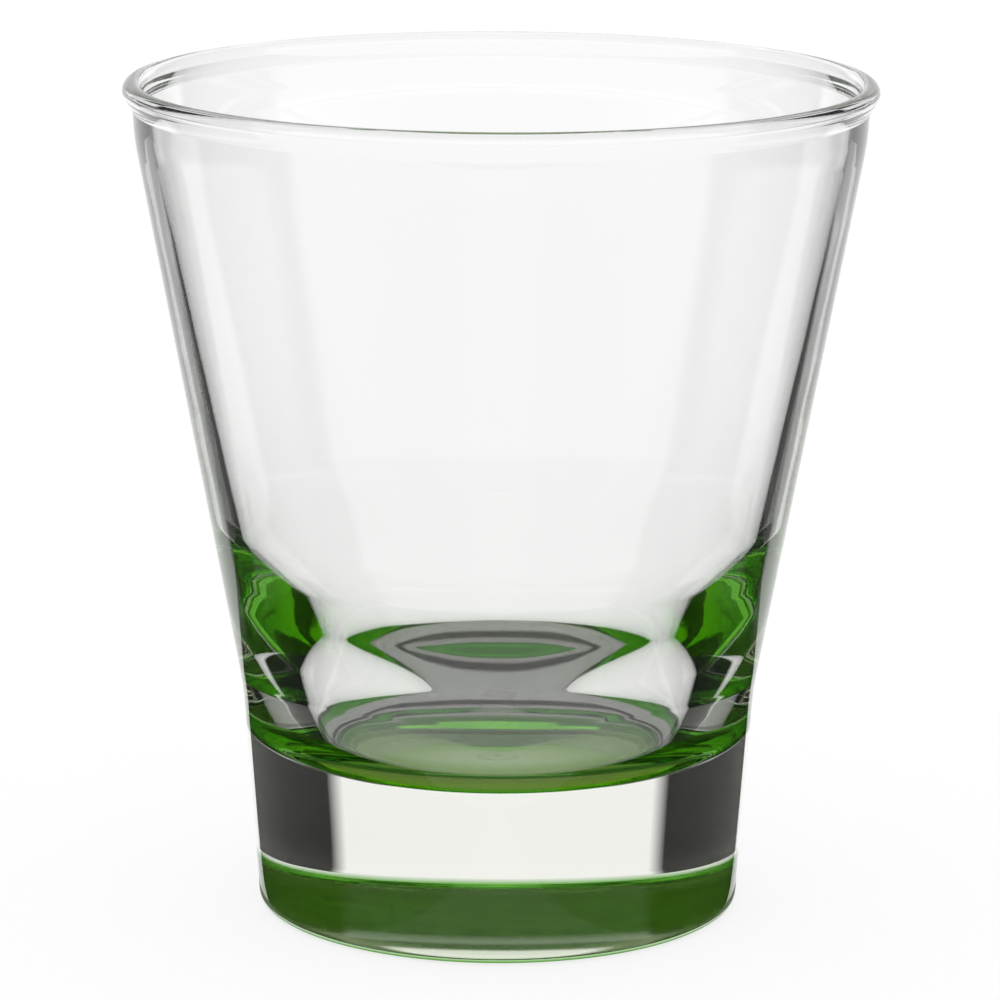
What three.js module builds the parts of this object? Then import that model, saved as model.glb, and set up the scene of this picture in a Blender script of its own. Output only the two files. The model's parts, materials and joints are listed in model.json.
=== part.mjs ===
// A flared drinking tumbler of clear soda-lime glass with a thick solid base.
// The underside is dished a little and carries a film of translucent green lacquer.
// Millimetres, +Z up, origin at the middle of the plane that the tumbler stands on.

import * as THREE from "three";

// Outside of the glass
const HEIGHT = 94.5;
const RIM_DIAMETER = 84.2;
const SHOULDER_DIAMETER = 58.2;
const SHOULDER_HEIGHT = 25.2;
const SHOULDER_ROUNDING = 45;
const FOOT_DIAMETER = 54.6;
const FOOT_ROUNDING = 1.9;

// Lip: a fire-polished bead above a slight neck
const BEAD_THICKNESS = 2.14;
const BEAD_HEIGHT = 3.2;
const NECK_SETBACK = 1.1;
const WALL_TOP_DROP = 6.5;
const WALL_TOP_SETBACK = 1.3;

// Wall thickness, measured level, from the lip down to the floor of the bowl
const WALL_AT_TOP = 1.5;
const WALL_AT_BEND = 3.0;
const WALL_AT_WAIST = 5.4;
const WALL_BELOW_WAIST = 5.95;
const WALL_AT_FLOOR = 8.0;

// Inside: a straight wall, a soft inward bend, a steep lower wall and a dished floor
const BEND_HEIGHT = 42.3;
const BEND_ROUNDING = 22;
const WAIST_HEIGHT = 33.7;
const WAIST_ROUNDING = 31;
const LOWER_WALL_HEIGHT = 26.5;
const LOWER_WALL_ROUNDING = 28;
const FLOOR_EDGE_HEIGHT = 18.4;
const FLOOR_ROUNDING = 6.8;
const FLOOR_THICKNESS = 15.8;

// Underside: a bearing ring round a shallow recess that holds the lacquer
const BEARING_WIDTH = 0.8;
const COAT_THICKNESS = 0.2;
const COAT_CLEARANCE = 0.1;
const COAT_EDGE_GAP = 0.1;

// Smoothness of the turned solids
const TURN_STEPS = 72;
const BEAD_STEPS = 15;
const CORNER_STEPS = 5;
const BEAD_OUTER_ANGLE = THREE.MathUtils.degToRad(-30);
const BEAD_INNER_ANGLE = THREE.MathUtils.degToRad(195);

const rimRadius = RIM_DIAMETER / 2;
const shoulderRadius = SHOULDER_DIAMETER / 2;
const footRadius = FOOT_DIAMETER / 2;
const neckHeight = HEIGHT - BEAD_HEIGHT;
const wallTopHeight = HEIGHT - WALL_TOP_DROP;
const neckRadius = rimRadius - NECK_SETBACK;
const wallTopRadius = rimRadius - WALL_TOP_SETBACK;
const recessRadius = footRadius - FOOT_ROUNDING - BEARING_WIDTH;
const recessDepth = COAT_THICKNESS + COAT_CLEARANCE;

// Outside radius at a height, along the straight base and the straight wall above it.
function outsideRadius(height) {
  if (height < SHOULDER_HEIGHT) {
    return THREE.MathUtils.mapLinear(height, 0, SHOULDER_HEIGHT, footRadius, shoulderRadius);
  }
  return THREE.MathUtils.mapLinear(
    height, SHOULDER_HEIGHT, wallTopHeight, shoulderRadius, wallTopRadius);
}

// A corner of the outline: radius from the axis, height and the rounding of the corner.
function corner(radius, height, rounding = 0) {
  return { at: new THREE.Vector2(radius, height), rounding };
}

function insideCorner(height, wall, rounding = 0) {
  return corner(outsideRadius(height) - wall, height, rounding);
}

// Points of a rounded corner: an arc that touches both neighbouring sides.
function roundedCorner(before, here, after) {
  if (here.rounding === 0) {
    return [here.at];
  }
  const back = before.at.clone().sub(here.at);
  const ahead = after.at.clone().sub(here.at);
  const opening = Math.acos(back.clone().normalize().dot(ahead.clone().normalize()));
  const wanted = here.rounding / Math.tan(opening / 2);
  const reach = Math.min(wanted, back.length() / 2, ahead.length() / 2);
  const start = here.at.clone().add(back.setLength(reach));
  const end = here.at.clone().add(ahead.setLength(reach));
  return new THREE.QuadraticBezierCurve(start, here.at, end).getPoints(CORNER_STEPS);
}

function roundedOutline(corners) {
  return corners.flatMap((here, i) => {
    const before = corners[i - 1] ?? here;
    const after = corners[i + 1] ?? here;
    return roundedCorner(before, here, after);
  });
}

// The bead is most of a circle, from just under its widest place over the top to the inside.
function beadCorners() {
  const beadRadius = BEAD_THICKNESS / 2;
  const centre = new THREE.Vector2(rimRadius - beadRadius, HEIGHT - beadRadius);
  const sweep = BEAD_INNER_ANGLE - BEAD_OUTER_ANGLE;
  return Array.from({ length: BEAD_STEPS + 1 }, (_, i) => {
    const angle = BEAD_OUTER_ANGLE + (sweep * i) / BEAD_STEPS;
    return corner(
      centre.x + beadRadius * Math.cos(angle),
      centre.y + beadRadius * Math.sin(angle));
  });
}

// Turns an outline that starts and ends on the axis into a solid standing along +Z.
function turned(outline) {
  return new THREE.LatheGeometry(outline, TURN_STEPS).rotateX(Math.PI / 2);
}

function makeGlassBody() {
  const outline = roundedOutline([
    corner(0, recessDepth),
    corner(recessRadius, recessDepth),
    corner(recessRadius, 0),
    corner(footRadius, 0, FOOT_ROUNDING),
    corner(shoulderRadius, SHOULDER_HEIGHT, SHOULDER_ROUNDING),
    corner(wallTopRadius, wallTopHeight),
    corner(neckRadius, neckHeight),
    ...beadCorners(),
    insideCorner(wallTopHeight, WALL_AT_TOP),
    insideCorner(BEND_HEIGHT, WALL_AT_BEND, BEND_ROUNDING),
    insideCorner(WAIST_HEIGHT, WALL_AT_WAIST, WAIST_ROUNDING),
    insideCorner(LOWER_WALL_HEIGHT, WALL_BELOW_WAIST, LOWER_WALL_ROUNDING),
    insideCorner(FLOOR_EDGE_HEIGHT, WALL_AT_FLOOR, FLOOR_ROUNDING),
    corner(0, FLOOR_THICKNESS),
  ]);
  const material = new THREE.MeshStandardMaterial({
    color: "#eaf0ec",
    roughness: 0.04,
    metalness: 0,
  });
  const mesh = new THREE.Mesh(turned(outline), material);
  mesh.name = "glass_body";
  return mesh;
}

// The lacquer film lies against the flat of the recess, clear of its edge and of the table.
function makeBaseCoat() {
  const coatRadius = recessRadius - COAT_EDGE_GAP;
  const outline = roundedOutline([
    corner(0, COAT_CLEARANCE),
    corner(coatRadius, COAT_CLEARANCE),
    corner(coatRadius, recessDepth),
    corner(0, recessDepth),
  ]);
  const material = new THREE.MeshStandardMaterial({
    color: "#3f9a1e",
    roughness: 0.25,
    metalness: 0,
  });
  const mesh = new THREE.Mesh(turned(outline), material);
  mesh.name = "base_coat";
  return mesh;
}

const tumbler = new THREE.Group();
tumbler.add(makeGlassBody(), makeBaseCoat());

export default tumbler;
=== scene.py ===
# %% [markdown]
# # A clear tumbler with a green base
# This lesson dresses a drinking glass. The real one has two pieces: a turned body of clear glass with a thick
# solid base, and a film of green lacquer in a shallow recess under the foot. Nearly all that the eye sees is light
# bent by the glass, so the shape of the inside matters as much as the outside, and most of the green is the film
# seen in the walls as in a mirror.

# %% Load the solid model
import json
import math

import bpy
from mathutils import Matrix, Vector

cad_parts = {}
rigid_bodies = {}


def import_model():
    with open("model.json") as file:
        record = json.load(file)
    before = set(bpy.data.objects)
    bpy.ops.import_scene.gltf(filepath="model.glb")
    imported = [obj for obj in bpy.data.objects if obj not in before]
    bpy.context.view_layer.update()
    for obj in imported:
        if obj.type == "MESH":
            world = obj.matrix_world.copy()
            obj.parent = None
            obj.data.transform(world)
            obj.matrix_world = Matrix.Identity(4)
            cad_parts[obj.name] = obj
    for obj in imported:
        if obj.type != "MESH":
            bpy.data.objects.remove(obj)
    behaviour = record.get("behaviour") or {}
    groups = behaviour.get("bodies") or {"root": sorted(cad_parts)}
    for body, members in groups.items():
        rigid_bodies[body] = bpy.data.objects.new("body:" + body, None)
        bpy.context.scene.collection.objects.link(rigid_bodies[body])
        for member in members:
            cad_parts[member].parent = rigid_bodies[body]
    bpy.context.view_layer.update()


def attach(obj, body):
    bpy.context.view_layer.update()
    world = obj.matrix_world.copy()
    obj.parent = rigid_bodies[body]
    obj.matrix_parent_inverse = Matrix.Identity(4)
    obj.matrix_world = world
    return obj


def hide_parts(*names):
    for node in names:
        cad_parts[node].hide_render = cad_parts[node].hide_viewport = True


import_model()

# %% [markdown]
# ## The outline of the glass
# A turned piece is one outline spun round an axis. It could be a stack of cylinders, but a single outline keeps
# the wall smooth, and smooth walls are what make glass look like glass. The sizes below are in millimetres, and
# the outside has the sizes of the solid model.

# %% Sizes of the outside
MM = 0.001
HEIGHT = 94.5
RIM_RADIUS = 42.1
SHOULDER = Vector((29.1, 25.2))
FOOT_RADIUS = 27.3
WALL_TOP = Vector((40.8, 88.0))
NECK = Vector((41.0, 91.3))


def outside_radius(height):
    """Radius of the outside at a height, along the straight base and the straight wall above it."""
    low, high = (Vector((FOOT_RADIUS, 0)), SHOULDER) if height < SHOULDER.y else (SHOULDER, WALL_TOP)
    return low.x + (high.x - low.x) * (height - low.y) / (high.y - low.y)


print("radius half way up:", round(outside_radius(HEIGHT / 2), 2))

# %% [markdown]
# The lip of the real glass is a bead that a flame has rounded. It could be a ring of its own, but it is one piece
# with the wall, so its arc is a part of the outline. It runs from just under the widest place over the top.

# %% Arc of the bead
BEAD_RADIUS = 1.07
BEAD_START = -30
BEAD_SWEEP = 225
BEAD_STEPS = 45

bead_middle = Vector((RIM_RADIUS - BEAD_RADIUS, HEIGHT - BEAD_RADIUS))
bead = []
for step in range(BEAD_STEPS + 1):
    angle = math.radians(BEAD_START + BEAD_SWEEP * step / BEAD_STEPS)
    bead.append((bead_middle.x + BEAD_RADIUS * math.cos(angle), bead_middle.y + BEAD_RADIUS * math.sin(angle), 0))
print("points on the bead:", len(bead))

# %% [markdown]
# The inside bends inwards above the thick base and ends in a dished floor. Nobody can lay a ruler there, so the
# wall's thickness at a few heights was found from what the glass shows: the width of the dark band at the edge and
# the shapes in the lower wall. Each corner is a radius, a height and a rounding, and each corner of the bowl a
# height, a thickness and a rounding.

# %% Corners of the outline
FOOT_ROUNDING = 1.9
RECESS_RADIUS = 24.6
RECESS_DEPTH = 0.3
RECESS_DRAFT = 0.02
FILM_RADIUS = 24.4
FLOOR_THICKNESS = 15.62


def inside_corner(height, wall, rounding):
    """A corner of the bowl, given by the wall's thickness there."""
    return (outside_radius(height) - wall, height, rounding)


body_corners = [
    (0, RECESS_DEPTH, 0),
    (FILM_RADIUS, RECESS_DEPTH, 0),
    (RECESS_RADIUS, RECESS_DEPTH, 0),
    (RECESS_RADIUS + RECESS_DRAFT, 0, 0),
    (FOOT_RADIUS, 0, FOOT_ROUNDING),
    (SHOULDER.x, SHOULDER.y, 45),
    (WALL_TOP.x, WALL_TOP.y, 30),
    (NECK.x, NECK.y, 0),
    *bead,
    inside_corner(WALL_TOP.y, 1.5, 30),
    inside_corner(43.0, 2.9, 22.6),
    inside_corner(33.8, 5.52, 32),
    inside_corner(27.35, 6.08, 27.4),
    inside_corner(18.83, 7.43, 7.15),
    (0, FLOOR_THICKNESS, 0),
]
print("outline corners:", len(body_corners))

# %% [markdown]
# Each rounded corner becomes a short curve that touches both sides. A vertex bevel would do it too, but on wide
# corners it bends more at its ends than in its middle, and glass shows that as a kink in the reflections. So the
# points come from the corner's own curve, and long straights get a few points between.

# %% Points along a rounded outline
CORNER_STEPS = 18
LONGEST_STRAIGHT = 2.5


def rounded_outline(corners):
    points = []
    for i, (radius, height, rounding) in enumerate(corners):
        here = Vector((radius, height))
        if not rounding:
            points.append(here)
            continue
        back = Vector(corners[i - 1][:2]) - here
        ahead = Vector(corners[i + 1][:2]) - here
        reach = min(rounding / math.tan(back.angle(ahead) / 2), back.length / 2, ahead.length / 2)
        start, end = here + back.normalized() * reach, here + ahead.normalized() * reach
        for step in range(CORNER_STEPS + 1):
            t = step / CORNER_STEPS
            points.append(start * (1 - t) ** 2 + here * 2 * t * (1 - t) + end * t * t)
    return points


def with_straights(points):
    filled = [points[0]]
    for before, after in zip(points, points[1:]):
        parts = max(1, math.ceil((after - before).length / LONGEST_STRAIGHT))
        filled += [before.lerp(after, part / parts) for part in range(1, parts + 1)]
    return filled


outline = rounded_outline(body_corners)
body_outline = outline[:3] + with_straights(outline[2:])[1:]
print("outline points:", len(body_outline))

# %% [markdown]
# ## Spinning the body
# The outline is drawn as by hand: a plane is merged to one vertex, and the vertex is extruded from point to point.
# A curve object would draw it too, but a chain of edges is what the spin tool takes.

# %% Draw the outline
def deselect_everything():
    if bpy.context.object and bpy.context.object.mode != "OBJECT":
        bpy.ops.object.mode_set(mode="OBJECT")
    bpy.ops.object.select_all(action="DESELECT")


def drawn_outline(name, points):
    """A new object whose mesh is a chain of edges through the points, in the plane of X and Z."""
    deselect_everything()
    bpy.ops.mesh.primitive_plane_add(size=MM, location=(0, 0, 0))
    piece = bpy.context.object
    piece.name = piece.data.name = name
    bpy.ops.object.mode_set(mode="EDIT")
    bpy.ops.mesh.select_all(action="SELECT")
    bpy.ops.mesh.merge(type="CENTER")
    bpy.ops.transform.translate(value=(points[0].x * MM, 0, points[0].y * MM))
    for before, after in zip(points, points[1:]):
        step = (after - before) * MM
        bpy.ops.mesh.extrude_region_move(TRANSFORM_OT_translate={"value": (step.x, 0, step.y)})
    return piece


glass_body = drawn_outline("tumbler_body", body_outline)
print("drawn:", glass_body.name)

# %% [markdown]
# The chain is spun a full turn. The seam and the two poles are then merged, the normals are turned outwards, and
# the sides are shaded smooth while the edges of the recess stay crisp.

# %% Spin the body
TURNS = 192
MERGE_DISTANCE = 2e-7
CRISP_ANGLE = math.radians(25)

bpy.ops.mesh.select_all(action="SELECT")
bpy.ops.mesh.spin(steps=TURNS, angle=2 * math.pi, center=(0, 0, 0), axis=(0, 0, 1))
bpy.ops.mesh.select_all(action="SELECT")
bpy.ops.mesh.remove_doubles(threshold=MERGE_DISTANCE)
bpy.ops.mesh.normals_make_consistent(inside=False)
bpy.ops.object.mode_set(mode="OBJECT")
bpy.ops.object.shade_smooth_by_angle(angle=CRISP_ANGLE)
print("body:", len(glass_body.data.vertices), "vertices,", len(glass_body.data.polygons), "faces")

# %% [markdown]
# ## Where the lacquer touches the glass
# The edge of a sprayed film is never a perfect circle. The ring of vertices at the film's edge moves in and out a
# little, by a sum of a few waves. The film will use the same wander, so that the two pieces agree.

# %% Wandering edge
EDGE_WAVES = ((3, 0.03, 0.4), (7, 0.03, 2.1), (19, 0.03, 4.0), (43, 0.025, 1.2))
UNDERSIDE_TOP = 1.0
ON_RING = 1e-6


def film_edge(angle):
    """Radius of the film's edge at an angle round the axis."""
    return FILM_RADIUS + sum(size * math.sin(count * angle + shift) for count, size, shift in EDGE_WAVES)


def wander_edge(piece):
    moved = 0
    for vertex in piece.data.vertices:
        radius = math.hypot(vertex.co.x, vertex.co.y)
        if abs(radius - FILM_RADIUS * MM) < ON_RING and vertex.co.z < UNDERSIDE_TOP * MM:
            new = film_edge(math.atan2(vertex.co.y, vertex.co.x)) * MM
            vertex.co.x *= new / radius
            vertex.co.y *= new / radius
            moved += 1
    return moved


print("vertices moved on the body:", wander_edge(glass_body))

# %% [markdown]
# Glass that is wetted by lacquer no longer mirrors there. The faces inside the ring are marked with an attribute
# that the material will read. A second material on those faces would do as well, but one finish is simpler.

# %% Contact mark
EDGE_ROOM = 0.15
LEVEL_ENOUGH = 0.9


def mark_contact(piece, facing):
    """Marks the flat faces that lie against the other piece with 1, and all others with 0."""
    mark = piece.data.attributes.new("contact", "FLOAT", "FACE")
    values = []
    for face in piece.data.polygons:
        reach = max(math.hypot(*piece.data.vertices[v].co[:2]) for v in face.vertices)
        inside = reach < (FILM_RADIUS + EDGE_ROOM) * MM
        below = face.center.z < UNDERSIDE_TOP * MM
        values.append(1.0 if inside and below and face.normal.z * facing > LEVEL_ENOUGH else 0.0)
    mark.data.foreach_set("value", values)
    return int(sum(values))


print("body faces against the film:", mark_contact(glass_body, -1))

# %% [markdown]
# A spray gun never stops dead at an edge. A breath of green settles on the recess's wall, on the bearing ring and
# on the first millimetre of the foot's rounding, and it fades upwards. A second attribute holds how much.

# %% Overspray mark
OVERSPRAY_FULL = 0.3
OVERSPRAY_TOP = 1.0
OVERSPRAY_INSET = 0.2
RECESS_ROOM = Vector((0.1, 0.01))

overspray = glass_body.data.attributes.new("overspray", "FLOAT", "FACE")
amounts = []
for face in glass_body.data.polygons:
    radius = math.hypot(face.center.x, face.center.y)
    height = face.center.z
    amount = 0.0
    if radius > (FILM_RADIUS - OVERSPRAY_INSET) * MM:
        amount = max(0.0, min(1.0, (OVERSPRAY_TOP - height / MM) / (OVERSPRAY_TOP - OVERSPRAY_FULL)))
    if height < (RECESS_DEPTH + RECESS_ROOM.y) * MM and radius < (RECESS_RADIUS + RECESS_ROOM.x) * MM:
        amount = 1.0
    amounts.append(amount)
overspray.data.foreach_set("value", amounts)
print("faces with overspray:", sum(1 for amount in amounts if amount > 0))

# %% [markdown]
# ## The lacquer film
# The film is a disc a fifth of a millimetre thick. A circle filled with a fan is extruded upwards, and its rim
# follows the same wander. It stops a few thousandths short of the glass, because two faces in the very same place
# confuse the renderer.

# %% Model the film
FILM_BOTTOM = 0.1
FILM_GAP = 0.004

film_thickness = (RECESS_DEPTH - FILM_GAP - FILM_BOTTOM) * MM
deselect_everything()
bpy.ops.mesh.primitive_circle_add(
    vertices=TURNS, radius=FILM_RADIUS * MM, fill_type="TRIFAN", location=(0, 0, 0))
film = bpy.context.object
film.name = film.data.name = "base_film"
bpy.ops.object.mode_set(mode="EDIT")
bpy.ops.mesh.select_all(action="SELECT")
bpy.ops.transform.translate(value=(0, 0, FILM_BOTTOM * MM))
bpy.ops.mesh.extrude_region_move(TRANSFORM_OT_translate={"value": (0, 0, film_thickness)})
bpy.ops.mesh.select_all(action="SELECT")
bpy.ops.mesh.normals_make_consistent(inside=False)
bpy.ops.object.mode_set(mode="OBJECT")
bpy.ops.object.shade_smooth_by_angle(angle=CRISP_ANGLE)
print("vertices moved on the film:", wander_edge(film))
print("film faces against the glass:", mark_contact(film, 1))

# %% [markdown]
# ## Clear glass
# Soda-lime glass bends light by 1.52 and keeps a trace of grey-green from its iron, which shows only where the
# glass is thick, so it is an absorbing volume and not a surface colour. The surface is fire polished, with very
# low ripples left from the mould.

# %% Polished glass
GLASS_BENDING = 1.52


def fresh_material(name):
    material = bpy.data.materials.new(name)
    material.use_nodes = True
    material.node_tree.nodes.clear()
    return material


def add_node(tree, kind, **values):
    """A new node with its inputs set by name, with _ for a space."""
    made = tree.nodes.new(kind)
    for name, value in values.items():
        made.inputs[name.replace("_", " ")].default_value = value
    return made


def polished_glass(tree):
    return add_node(
        tree, "ShaderNodeBsdfPrincipled", Base_Color=(1, 1, 1, 1), Roughness=0.0, IOR=GLASS_BENDING,
        Transmission_Weight=1.0)


def object_place(tree):
    return tree.nodes.new("ShaderNodeTexCoord").outputs["Object"]


clear_glass = fresh_material("clear_glass")
tree = clear_glass.node_tree
ripple = add_node(tree, "ShaderNodeTexNoise", Scale=90.0, Detail=1.0, Roughness=0.4)
tree.links.new(object_place(tree), ripple.inputs["Vector"])
ripple_bump = add_node(tree, "ShaderNodeBump", Strength=0.02, Distance=0.001)
tree.links.new(ripple.outputs["Fac"], ripple_bump.inputs["Height"])
polished = polished_glass(tree)
tree.links.new(ripple_bump.outputs["Normal"], polished.inputs["Normal"])
iron = add_node(tree, "ShaderNodeVolumeAbsorption", Color=(0.55, 0.6, 0.3, 1), Density=3.5)
print("polished glass:", len(tree.nodes), "nodes")

# %% [markdown]
# The two marks now choose the surface: green-stained glass where overspray lies, and where the film wets the glass
# the surface lets light straight through.

# %% Material of the body
def mix_shaders(tree, share, first, second):
    made = tree.nodes.new("ShaderNodeMixShader")
    for socket, value in zip(made.inputs, (share, first, second)):
        tree.links.new(value, socket)
    return made.outputs["Shader"]


def face_mark(tree, name):
    made = tree.nodes.new("ShaderNodeAttribute")
    made.attribute_name = name
    return made.outputs["Fac"]


def finish_material(material, surface, volume=None):
    tree = material.node_tree
    output = tree.nodes.new("ShaderNodeOutputMaterial")
    tree.links.new(surface, output.inputs["Surface"])
    if volume is not None:
        tree.links.new(volume, output.inputs["Volume"])
    print(material.name, "has", len(tree.nodes), "nodes")


misted = add_node(tree, "ShaderNodeBsdfGlass", Color=(0.14, 0.46, 0.05, 1), Roughness=0.0, IOR=GLASS_BENDING)
wetted = tree.nodes.new("ShaderNodeBsdfTransparent")
bare_or_misted = mix_shaders(tree, face_mark(tree, "overspray"), polished.outputs["BSDF"], misted.outputs["BSDF"])
surface = mix_shaders(tree, face_mark(tree, "contact"), bare_or_misted, wetted.outputs["BSDF"])
finish_material(clear_glass, surface, iron.outputs["Volume"])
glass_body.data.materials.append(clear_glass)

# %% [markdown]
# ## Green lacquer
# The lacquer is dyed, so it filters the light that passes through it. A plain green paint would look flat here:
# the depth of the real one comes from light that crosses the film twice. So the dye is an absorbing volume, with
# one number for each of red, green and blue.

# %% Dye
FILM_FILTER = (0.85, 0.33, 2.0)

green_lacquer = fresh_material("green_lacquer")
tree = green_lacquer.node_tree
strongest = max(FILM_FILTER)
dye = add_node(
    tree, "ShaderNodeVolumeAbsorption",
    Color=(*(1 - f / strongest for f in FILM_FILTER), 1), Density=strongest / film_thickness)
print("density of the dye:", round(strongest / film_thickness))

# %% [markdown]
# A little of the light scatters on the pigment: more at a slant, where the way through the film is long, and
# unevenly, as a spray leaves thin and thick places. Layer Weight and a noise give the share.

# %% Scatter
def feed(tree, socket, value):
    if isinstance(value, bpy.types.NodeSocket):
        tree.links.new(value, socket)
    else:
        socket.default_value = value


def math_node(tree, operation, *values, clamp=False):
    """A Math node fed by sockets or plain numbers."""
    made = tree.nodes.new("ShaderNodeMath")
    made.operation = operation
    made.use_clamp = clamp
    for socket, value in zip(made.inputs, values):
        feed(tree, socket, value)
    return made.outputs["Value"]


def map_range(tree, value, start, end, to=(0.0, 1.0), smooth=False):
    made = add_node(tree, "ShaderNodeMapRange", From_Min=start, From_Max=end, To_Min=to[0], To_Max=to[1])
    made.interpolation_type = "SMOOTHSTEP" if smooth else "LINEAR"
    tree.links.new(value, made.inputs["Value"])
    return made.outputs["Result"]


place = object_place(tree)
mottle = add_node(tree, "ShaderNodeTexNoise", Scale=260.0, Detail=4.0, Roughness=0.6)
tree.links.new(place, mottle.inputs["Vector"])
grain = map_range(tree, mottle.outputs["Fac"], 0.3, 0.7, to=(0.8, 1.2))
slant = add_node(tree, "ShaderNodeLayerWeight", Blend=0.5).outputs["Facing"]
scatter = math_node(tree, "MULTIPLY", map_range(tree, slant, 0.3, 0.9, to=(0.08, 0.5)), grain)
print("nodes with the scatter:", len(tree.nodes))

# %% [markdown]
# In the photograph the film's front edge is painted paler and less clear: painted light, as where light falls in
# from the front. The other sides can't be seen, so they get a fainter share. One number from the distance to the
# axis and one from the place along Y give how much painted light each place has.

# %% Painted light on the front edge
FILM_GREEN = (0.17, 0.5, 0.03, 1)
PAINTED_LIGHT_GREEN = (0.42, 0.62, 0.22, 1)
PAINTED_LIGHT_PIGMENT = 0.35


def distance_from_origin(tree, place):
    made = tree.nodes.new("ShaderNodeVectorMath")
    made.operation = "LENGTH"
    tree.links.new(place, made.inputs[0])
    return made.outputs["Value"]


def split_axes(tree, place):
    made = tree.nodes.new("ShaderNodeSeparateXYZ")
    tree.links.new(place, made.inputs["Vector"])
    return made.outputs


def mix_colours(tree, share, first, second):
    made = tree.nodes.new("ShaderNodeMix")
    made.data_type = "RGBA"
    for socket, value in zip((made.inputs[0], made.inputs[6], made.inputs[7]), (share, first, second)):
        feed(tree, socket, value)
    return made.outputs[2]


radius = distance_from_origin(tree, place)
front_to_back = split_axes(tree, place)["Y"]
near_edge = map_range(tree, radius, 0.0165, 0.0225, smooth=True)
near_front = map_range(tree, front_to_back, -0.016, -0.008, to=(1.0, 0.25), smooth=True)
# painted light: the film turns paler and more matt towards its front edge
painted_front_light = math_node(tree, "MULTIPLY", near_edge, near_front)
pigment_share = math_node(tree, "MULTIPLY_ADD", painted_front_light, PAINTED_LIGHT_PIGMENT, scatter, clamp=True)
pigment_colour = mix_colours(tree, painted_front_light, FILM_GREEN, PAINTED_LIGHT_GREEN)
print("nodes with the thick edge:", len(tree.nodes))

# %% [markdown]
# Mirrored in the lower wall, the rim of the film shows a pale ring with a dark line in it and a light grey ring
# outside. They are painted light and painted shade, as rings by the distance from the axis. They show only in
# light that comes through the bowl, and fainter where no wall has mirrored it.

# %% Painted light and shade rings at the rim
PAINTED_LIGHT_RING = (0.97, 0.99, 0.97, 1)
PAINTED_SHADE_RING = (0.05, 0.055, 0.04, 1)
PAINTED_LIGHT_OUTER_RING = (0.8, 0.76, 0.79, 1)
PAINTED_RINGS = (
    (0, (*FILM_GREEN[:3], 0)), (0.13, PAINTED_LIGHT_RING), (0.67, PAINTED_LIGHT_RING), (0.74, PAINTED_SHADE_RING), (0.85, PAINTED_SHADE_RING),
    (0.91, PAINTED_LIGHT_OUTER_RING), (1, PAINTED_LIGHT_OUTER_RING))
BOWL_CROSSINGS = 3
UNMIRRORED_SHARE = 0.3


def colour_ramp(tree, share, stops):
    """A ramp along a share from 0 to 1, from pairs of place and colour that start at 0 and end at 1."""
    ramp = tree.nodes.new("ShaderNodeValToRGB")
    elements = ramp.color_ramp.elements
    elements[0].color, elements[1].color = stops[0][1], stops[-1][1]
    for where, colour in stops[1:-1]:
        elements.new(where).color = colour
    tree.links.new(share, ramp.inputs["Fac"])
    return ramp.outputs


# painted light and painted shade: pale, dark and light grey rings by the distance from the axis
rings = colour_ramp(tree, map_range(tree, radius, 0.0155, 0.0245), PAINTED_RINGS)
path = tree.nodes.new("ShaderNodeLightPath")
through_bowl = math_node(tree, "GREATER_THAN", path.outputs["Transmission Depth"], BOWL_CROSSINGS - 0.5)
off_wall = map_range(tree, path.outputs["Glossy Depth"], 0.0, 1.0, to=(UNMIRRORED_SHARE, 1.0))
painted_ring_share = math_node(tree, "MULTIPLY", math_node(tree, "MULTIPLY", through_bowl, off_wall), rings["Alpha"])
print("nodes with the rings:", len(tree.nodes))

# %% [markdown]
# Pigment and the painted rings together are matt, and the rest of the film is clear dye. Their share mixes the two.

# %% Pigment in the dye
pigment = tree.nodes.new("ShaderNodeBsdfDiffuse")
tree.links.new(mix_colours(tree, painted_ring_share, pigment_colour, rings["Color"]), pigment.inputs["Color"])
clear_dye = tree.nodes.new("ShaderNodeBsdfTransparent")
solid_share = math_node(tree, "ADD", painted_ring_share, pigment_share, clamp=True)
soaked = mix_shaders(tree, solid_share, clear_dye.outputs["BSDF"], pigment.outputs["BSDF"])
print("nodes with the pigment:", len(tree.nodes))

# %% [markdown]
# Seen along its face through the foot, the film's front edge shows a light strip: a painted reflection. A gloss
# that grows at a slant gives it, and a ramp along Y says how much of it each place has, so it lies at the front
# only.
# The side away from the glass is plain and shiny.

# %% Painted reflection strip and material of the film
STRIP_START, STRIP_END = -0.0085, -0.0215
PAINTED_REFLECTION_STRIP = ((0, 0.02), (0.25, 0.16), (0.42, 0.2), (0.5, 0.06), (0.72, 0.06), (0.85, 0.9), (1, 0.9))


def grey_ramp(tree, share, levels, full=1.0):
    """A ramp of greys, from pairs of place, up to the full one, and level."""
    return colour_ramp(tree, share, [(where / full, (grey, grey, grey, 1)) for where, grey in levels])["Color"]


# painted reflection: a gloss share placed by Y towards the film's front edge
strip = grey_ramp(tree, map_range(tree, front_to_back, STRIP_START, STRIP_END), PAINTED_REFLECTION_STRIP)
mirrored = math_node(tree, "MULTIPLY", map_range(tree, slant, 0.72, 0.84), strip)
mirror = add_node(tree, "ShaderNodeBsdfGlossy", Color=(0.9, 0.95, 0.85, 1), Roughness=0.03)
wet_side = mix_shaders(tree, mirrored, soaked, mirror.outputs["BSDF"])
free_side = polished_glass(tree)
surface = mix_shaders(tree, face_mark(tree, "contact"), free_side.outputs["BSDF"], wet_side)
finish_material(green_lacquer, surface, dye.outputs["Volume"])
film.data.materials.append(green_lacquer)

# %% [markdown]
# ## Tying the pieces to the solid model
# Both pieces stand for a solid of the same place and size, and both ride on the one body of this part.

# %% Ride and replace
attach(glass_body, "root")
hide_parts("glass_body")
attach(film, "root")
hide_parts("base_coat")

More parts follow.
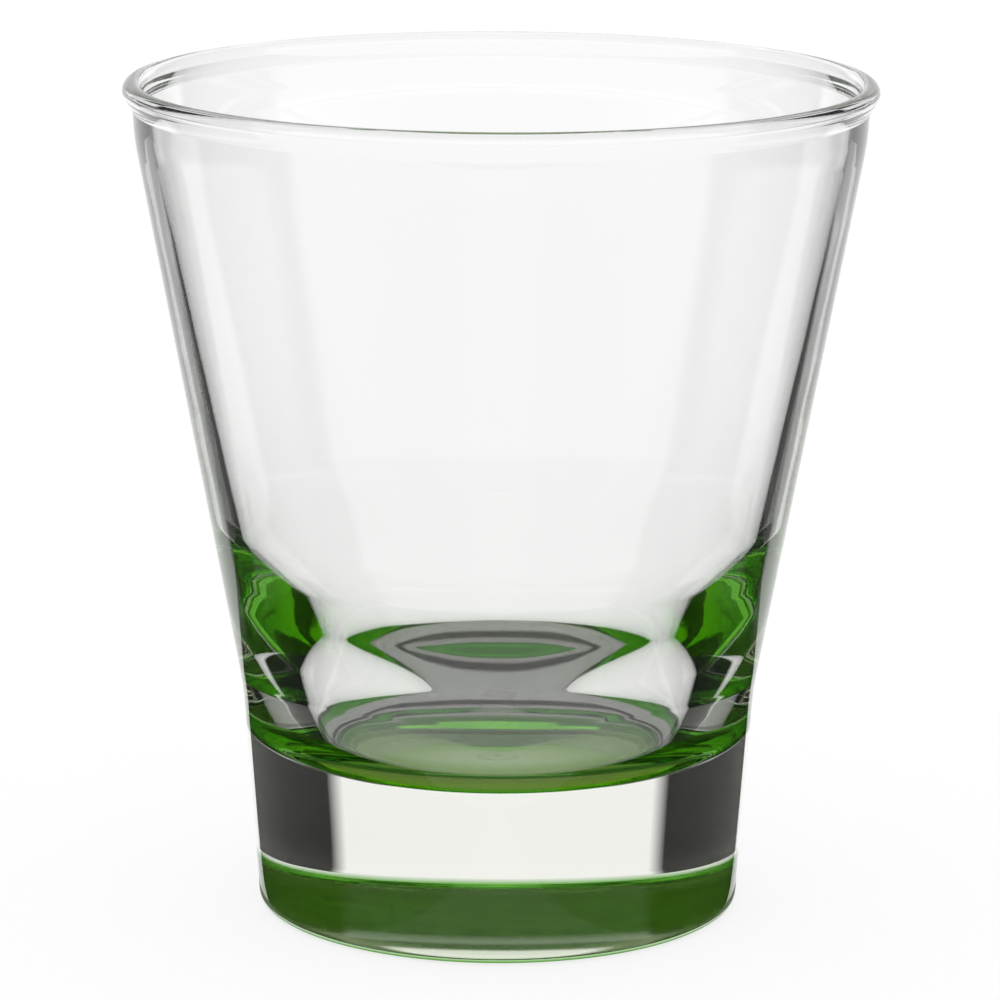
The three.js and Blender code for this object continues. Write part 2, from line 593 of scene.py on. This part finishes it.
# %% [markdown]
# ## Floor
# The floor is plain and pale and keeps a soft shadow. Light that has gone through the glass should not find this
# bright floor just beside the foot, so the floor is left out of the glass's own view.

# %% Floor
FLOOR_SIZE = 6.0
FLOOR_DROP = 0.00005

deselect_everything()
bpy.ops.mesh.primitive_plane_add(size=FLOOR_SIZE, location=(0, 0, -FLOOR_DROP))
floor = bpy.context.object
floor.name = "floor"
floor.visible_transmission = False
floor.visible_glossy = False
pale_floor = fresh_material("pale_floor")
tree = pale_floor.node_tree
matt = add_node(tree, "ShaderNodeBsdfDiffuse", Color=(0.25, 0.25, 0.25, 1))
lift = add_node(tree, "ShaderNodeEmission", Color=(1, 1, 1, 1), Strength=0.77)
both = tree.nodes.new("ShaderNodeAddShader")
tree.links.new(matt.outputs["BSDF"], both.inputs[0])
tree.links.new(lift.outputs["Emission"], both.inputs[1])
finish_material(pale_floor, both.outputs["Shader"])
floor.data.materials.append(pale_floor)

# %% [markdown]
# The table right under a real glass is closed in and dim. A small disc there gives the light that comes down
# through the film that dimness, and only the glass sees it.

# %% Dim disc under the foot
UNDER_RADIUS = 29.0
UNDER_DROP = 0.0002
UNDER_LEVELS = ((0, 0.34), (22, 0.3), (26, 0.18), (29, 0.25))


def seen_by_glass_only(piece):
    piece.visible_camera = False
    piece.visible_diffuse = False
    piece.visible_shadow = False


deselect_everything()
bpy.ops.mesh.primitive_circle_add(
    vertices=96, radius=UNDER_RADIUS * MM, fill_type="NGON", location=(0, 0, -UNDER_DROP))
under_foot = bpy.context.object
under_foot.name = "under_foot"
dim_under_foot = fresh_material("dim_under_foot")
tree = dim_under_foot.node_tree
outward = math_node(tree, "DIVIDE", distance_from_origin(tree, object_place(tree)), UNDER_RADIUS * MM)
glow = add_node(tree, "ShaderNodeEmission", Strength=1.0)
tree.links.new(grey_ramp(tree, outward, UNDER_LEVELS, UNDER_RADIUS), glow.inputs["Color"])
finish_material(dim_under_foot, glow.outputs["Emission"])
under_foot.data.materials.append(dim_under_foot)
seen_by_glass_only(under_foot)

# %% [markdown]
# ## Dark cards
# A photographer of glass puts black cards where the edges should turn dark. A card could darken the whole glass, so
# each works for some light only. Light Path counts how often light has crossed a surface and how often it was
# mirrored, and a card turns clear for the light that it isn't meant for.

# %% Card material
CARD_LEVEL = 0.012
ALL_CROSSINGS = 40


def never_mirrored(tree, least, most):
    """1 for light that crossed from least to most surfaces of the glass and was never mirrored, else 0."""
    path = tree.nodes.new("ShaderNodeLightPath")
    crossings = path.outputs["Transmission Depth"]
    enough = math_node(tree, "GREATER_THAN", crossings, least - 0.5)
    not_more = math_node(tree, "LESS_THAN", crossings, most + 0.5)
    straight = math_node(tree, "LESS_THAN", path.outputs["Glossy Depth"], 0.5)
    return math_node(tree, "MULTIPLY", math_node(tree, "MULTIPLY", enough, not_more), straight)


def black_card(name, make_clear_share):
    """A dark glow that turns clear by the share that the given function makes."""
    material = fresh_material(name)
    tree = material.node_tree
    sheen = add_node(tree, "ShaderNodeEmission", Color=(1, 1, 1, 1), Strength=CARD_LEVEL)
    clear = tree.nodes.new("ShaderNodeBsdfTransparent")
    finish_material(material, mix_shaders(
        tree, make_clear_share(tree), sheen.outputs["Emission"], clear.outputs["BSDF"]))
    return material


# %% [markdown]
# Two cards lie flat beside the foot. They keep mirrored light from veiling the green in the lower wall, and they
# fade out further away, so that the wall above shows no hard edge of a card.

# %% Side cards
SIDE_Z = -0.0003
SIDE_CARD = ((0.003, -0.07, SIDE_Z), (0.17, -0.07, SIDE_Z), (0.17, 0.075, SIDE_Z), (0.06, 0.075, SIDE_Z))
SIDE_FADE = (0.1, 0.165)


def pair_of_cards(name, corners, material):
    """A card on the right with these corners, and its mirror image on the left."""
    for side, end in ((-1, "left"), (1, "right")):
        deselect_everything()
        bpy.ops.mesh.primitive_circle_add(vertices=4, radius=0.1, fill_type="NGON", location=(0, 0, 0))
        card = bpy.context.object
        card.name = f"{name}_{end}"
        for vertex, (across, along, up) in zip(card.data.vertices, corners):
            vertex.co = (side * across, along, up)
        card.data.materials.append(material)
        seen_by_glass_only(card)
        print("placed:", card.name)


def faded_or_straight(tree):
    fade = map_range(tree, distance_from_origin(tree, object_place(tree)), *SIDE_FADE)
    return math_node(tree, "MAXIMUM", fade, never_mirrored(tree, 1, ALL_CROSSINGS))


pair_of_cards("side_card", SIDE_CARD, black_card("black_side_card", faded_or_straight))

# %% [markdown]
# Two cards stand upright far behind and below the table's height. The solid base is a strong lens and turns them
# into its two dark flanks, with the white between them as a bright panel. Their inner ends fade a little.

# %% Rear cards
REAR_INNER, REAR_OUTER = (0.213, 0.453), (0.45, 0.157)
REAR_TOP, REAR_BOTTOM = -0.012, -0.25
REAR_CARD = (
    (*REAR_INNER, REAR_BOTTOM), (*REAR_OUTER, REAR_BOTTOM), (*REAR_OUTER, REAR_TOP), (*REAR_INNER, REAR_TOP))
REAR_FADE = (0.215, 0.238)
BASE_CROSSINGS = 3


def all_but_base_light(tree):
    sideways = math_node(tree, "ABSOLUTE", split_axes(tree, object_place(tree))["X"])
    inward = map_range(tree, sideways, *REAR_FADE)
    dark_share = math_node(tree, "MULTIPLY", inward, never_mirrored(tree, 1, BASE_CROSSINGS))
    return math_node(tree, "SUBTRACT", 1.0, dark_share)


pair_of_cards("rear_card", REAR_CARD, black_card("black_rear_card", all_but_base_light))

# %% [markdown]
# ## Light all round
# The world is the rest of the studio: white, with dark to the sides, and dimmer low down behind the camera. It
# could be many lamps and panels, but a colour by direction is quicker to set. The direction is an angle round the
# glass, from straight ahead to behind the camera and alike on both sides, and a height above the horizon.

# %% Direction of the light
world = bpy.data.worlds.new("studio")
bpy.context.scene.world = world
world.use_nodes = True
tree = world.node_tree
axes = split_axes(tree, tree.nodes.new("ShaderNodeTexCoord").outputs["Generated"])
sideways = math_node(tree, "ABSOLUTE", axes["X"])
turn = math_node(tree, "DIVIDE", math_node(tree, "ARCTAN2", sideways, axes["Y"]), math.pi)
print("world with directions:", len(tree.nodes), "nodes")

# %% [markdown]
# Each list has pairs of an angle in degrees, from 0 straight ahead to 180 behind the camera, and a grey. Light
# that was inside the glass has its own lists at some heights, so that the wall's outer strip turns pale and its
# inner line dark while the lip and the film keep their light.

# %% Greys round the glass
DARK = 0.012
STEEP = ((0, 0.65), (19, 0.65), (24, 0.03), (180, 0.03))
LOW_OUTSIDE = ((0, 1.0), (37, 1.0), (41, 0.05), (57, 0.05), (60, 1.0), (96, 1.0), (104, 0.25), (180, 0.25))
LOW_INSIDE = (
    (0, 1.0), (17, 1.0), (20, 0.25), (25, 0.12), (33, 0.05), (44, 0.05), (47, 0.4), (96, 0.4), (104, 0.25),
    (180, 0.25))
MIDDLE_INSIDE = (
    (0, 1.0), (18, 1.0), (20, 0.35), (28, 0.22), (31, 0.04), (45, 0.04), (48, 1.0), (96, 1.0), (104, 0.25),
    (180, 0.25))
LEVEL = ((0, 1.0), (46, 1.0), (50, DARK), (96, DARK), (110, 0.25), (180, 0.25))
ABOVE = ((0, 1.0), (28, 1.0), (31, DARK), (96, DARK), (100, 1.0), (180, 1.0))
HIGH_OUTSIDE = ((0, 1.0), (28, 1.0), (31, DARK), (180, DARK))

# %% [markdown]
# The lists are stacked by height. Each row has the greys for light that was only mirrored on the outside, those for
# light that was inside, or None where they are the same, and the two heights in degrees between which they fade in.

# %% Stack the greys by height
HALF_TURN = 180
ROWS = (
    (LOW_OUTSIDE, LOW_INSIDE, -36, -34), (LOW_OUTSIDE, MIDDLE_INSIDE, -19.2, -17.8), (LEVEL, None, -16, -13.5),
    (ABOVE, None, -3, 3), (HIGH_OUTSIDE, ABOVE, 12, 16))

path = tree.nodes.new("ShaderNodeLightPath")
inside = math_node(tree, "GREATER_THAN", path.outputs["Transmission Depth"], 0.5)
greys = grey_ramp(tree, turn, STEEP, HALF_TURN)
for outside_greys, inside_greys, low, high in ROWS:
    higher = map_range(tree, axes["Z"], math.sin(math.radians(low)), math.sin(math.radians(high)))
    here = grey_ramp(tree, turn, outside_greys, HALF_TURN)
    if inside_greys:
        here = mix_colours(tree, inside, here, grey_ramp(tree, turn, inside_greys, HALF_TURN))
    greys = mix_colours(tree, higher, greys, here)
print("world with greys:", len(tree.nodes), "nodes")

# %% [markdown]
# The camera and matt surfaces see plain white. So does light that has crossed the glass and was never mirrored,
# and that keeps the bowl clear from any side.

# %% White for plain light
WHITE = (1, 1, 1, 1)

plain_light = math_node(tree, "MAXIMUM", path.outputs["Is Camera Ray"], path.outputs["Is Diffuse Ray"])
white_share = math_node(tree, "MAXIMUM", never_mirrored(tree, 1, ALL_CROSSINGS), plain_light)
background = tree.nodes["Background"]
tree.links.new(mix_colours(tree, white_share, greys, WHITE), background.inputs["Color"])
background.inputs["Strength"].default_value = 1.0
print("world:", len(tree.nodes), "nodes")

# %% [markdown]
# ## Camera
# The photograph looks a little down at the glass from close by with a long lens, and it is tilted by a quarter of
# a degree. The lens and the distance were found from the rim's and the foot's ellipses.

# %% Camera
CAMERA_DISTANCE = 0.5748
CAMERA_AIM = 0.04644
CAMERA_ELEVATION = math.radians(12.56)
CAMERA_ROLL = 0.00474

lens = bpy.data.cameras.new("photo_lens")
lens.sensor_width = 36
lens.lens = 182.66
lens.shift_x = 0.0007
lens.clip_start = 0.01
lens.clip_end = 50
camera = bpy.data.objects.new("photo_camera", lens)
bpy.context.scene.collection.objects.link(camera)
camera.location = (
    0, -CAMERA_DISTANCE * math.cos(CAMERA_ELEVATION), CAMERA_AIM + CAMERA_DISTANCE * math.sin(CAMERA_ELEVATION))
looking = Matrix.Rotation(math.pi / 2 - CAMERA_ELEVATION, 4, "X") @ Matrix.Rotation(CAMERA_ROLL, 4, "Z")
camera.rotation_euler = looking.to_euler()
bpy.context.scene.camera = camera
print("camera at:", [round(v, 4) for v in camera.location])

# %% [markdown]
# ## Render choices
# Light crosses this glass many times before it leaves, so the bounce limits are raised. The view transform is the
# plain one, so that white stays white.

# %% Bounces and view
scene = bpy.context.scene
scene.view_settings.view_transform = "Standard"
scene.cycles.max_bounces = 40
scene.cycles.glossy_bounces = 32
scene.cycles.transmission_bounces = 40
scene.cycles.transparent_max_bounces = 40
scene.cycles.use_denoising = True
print("bounces:", scene.cycles.max_bounces)
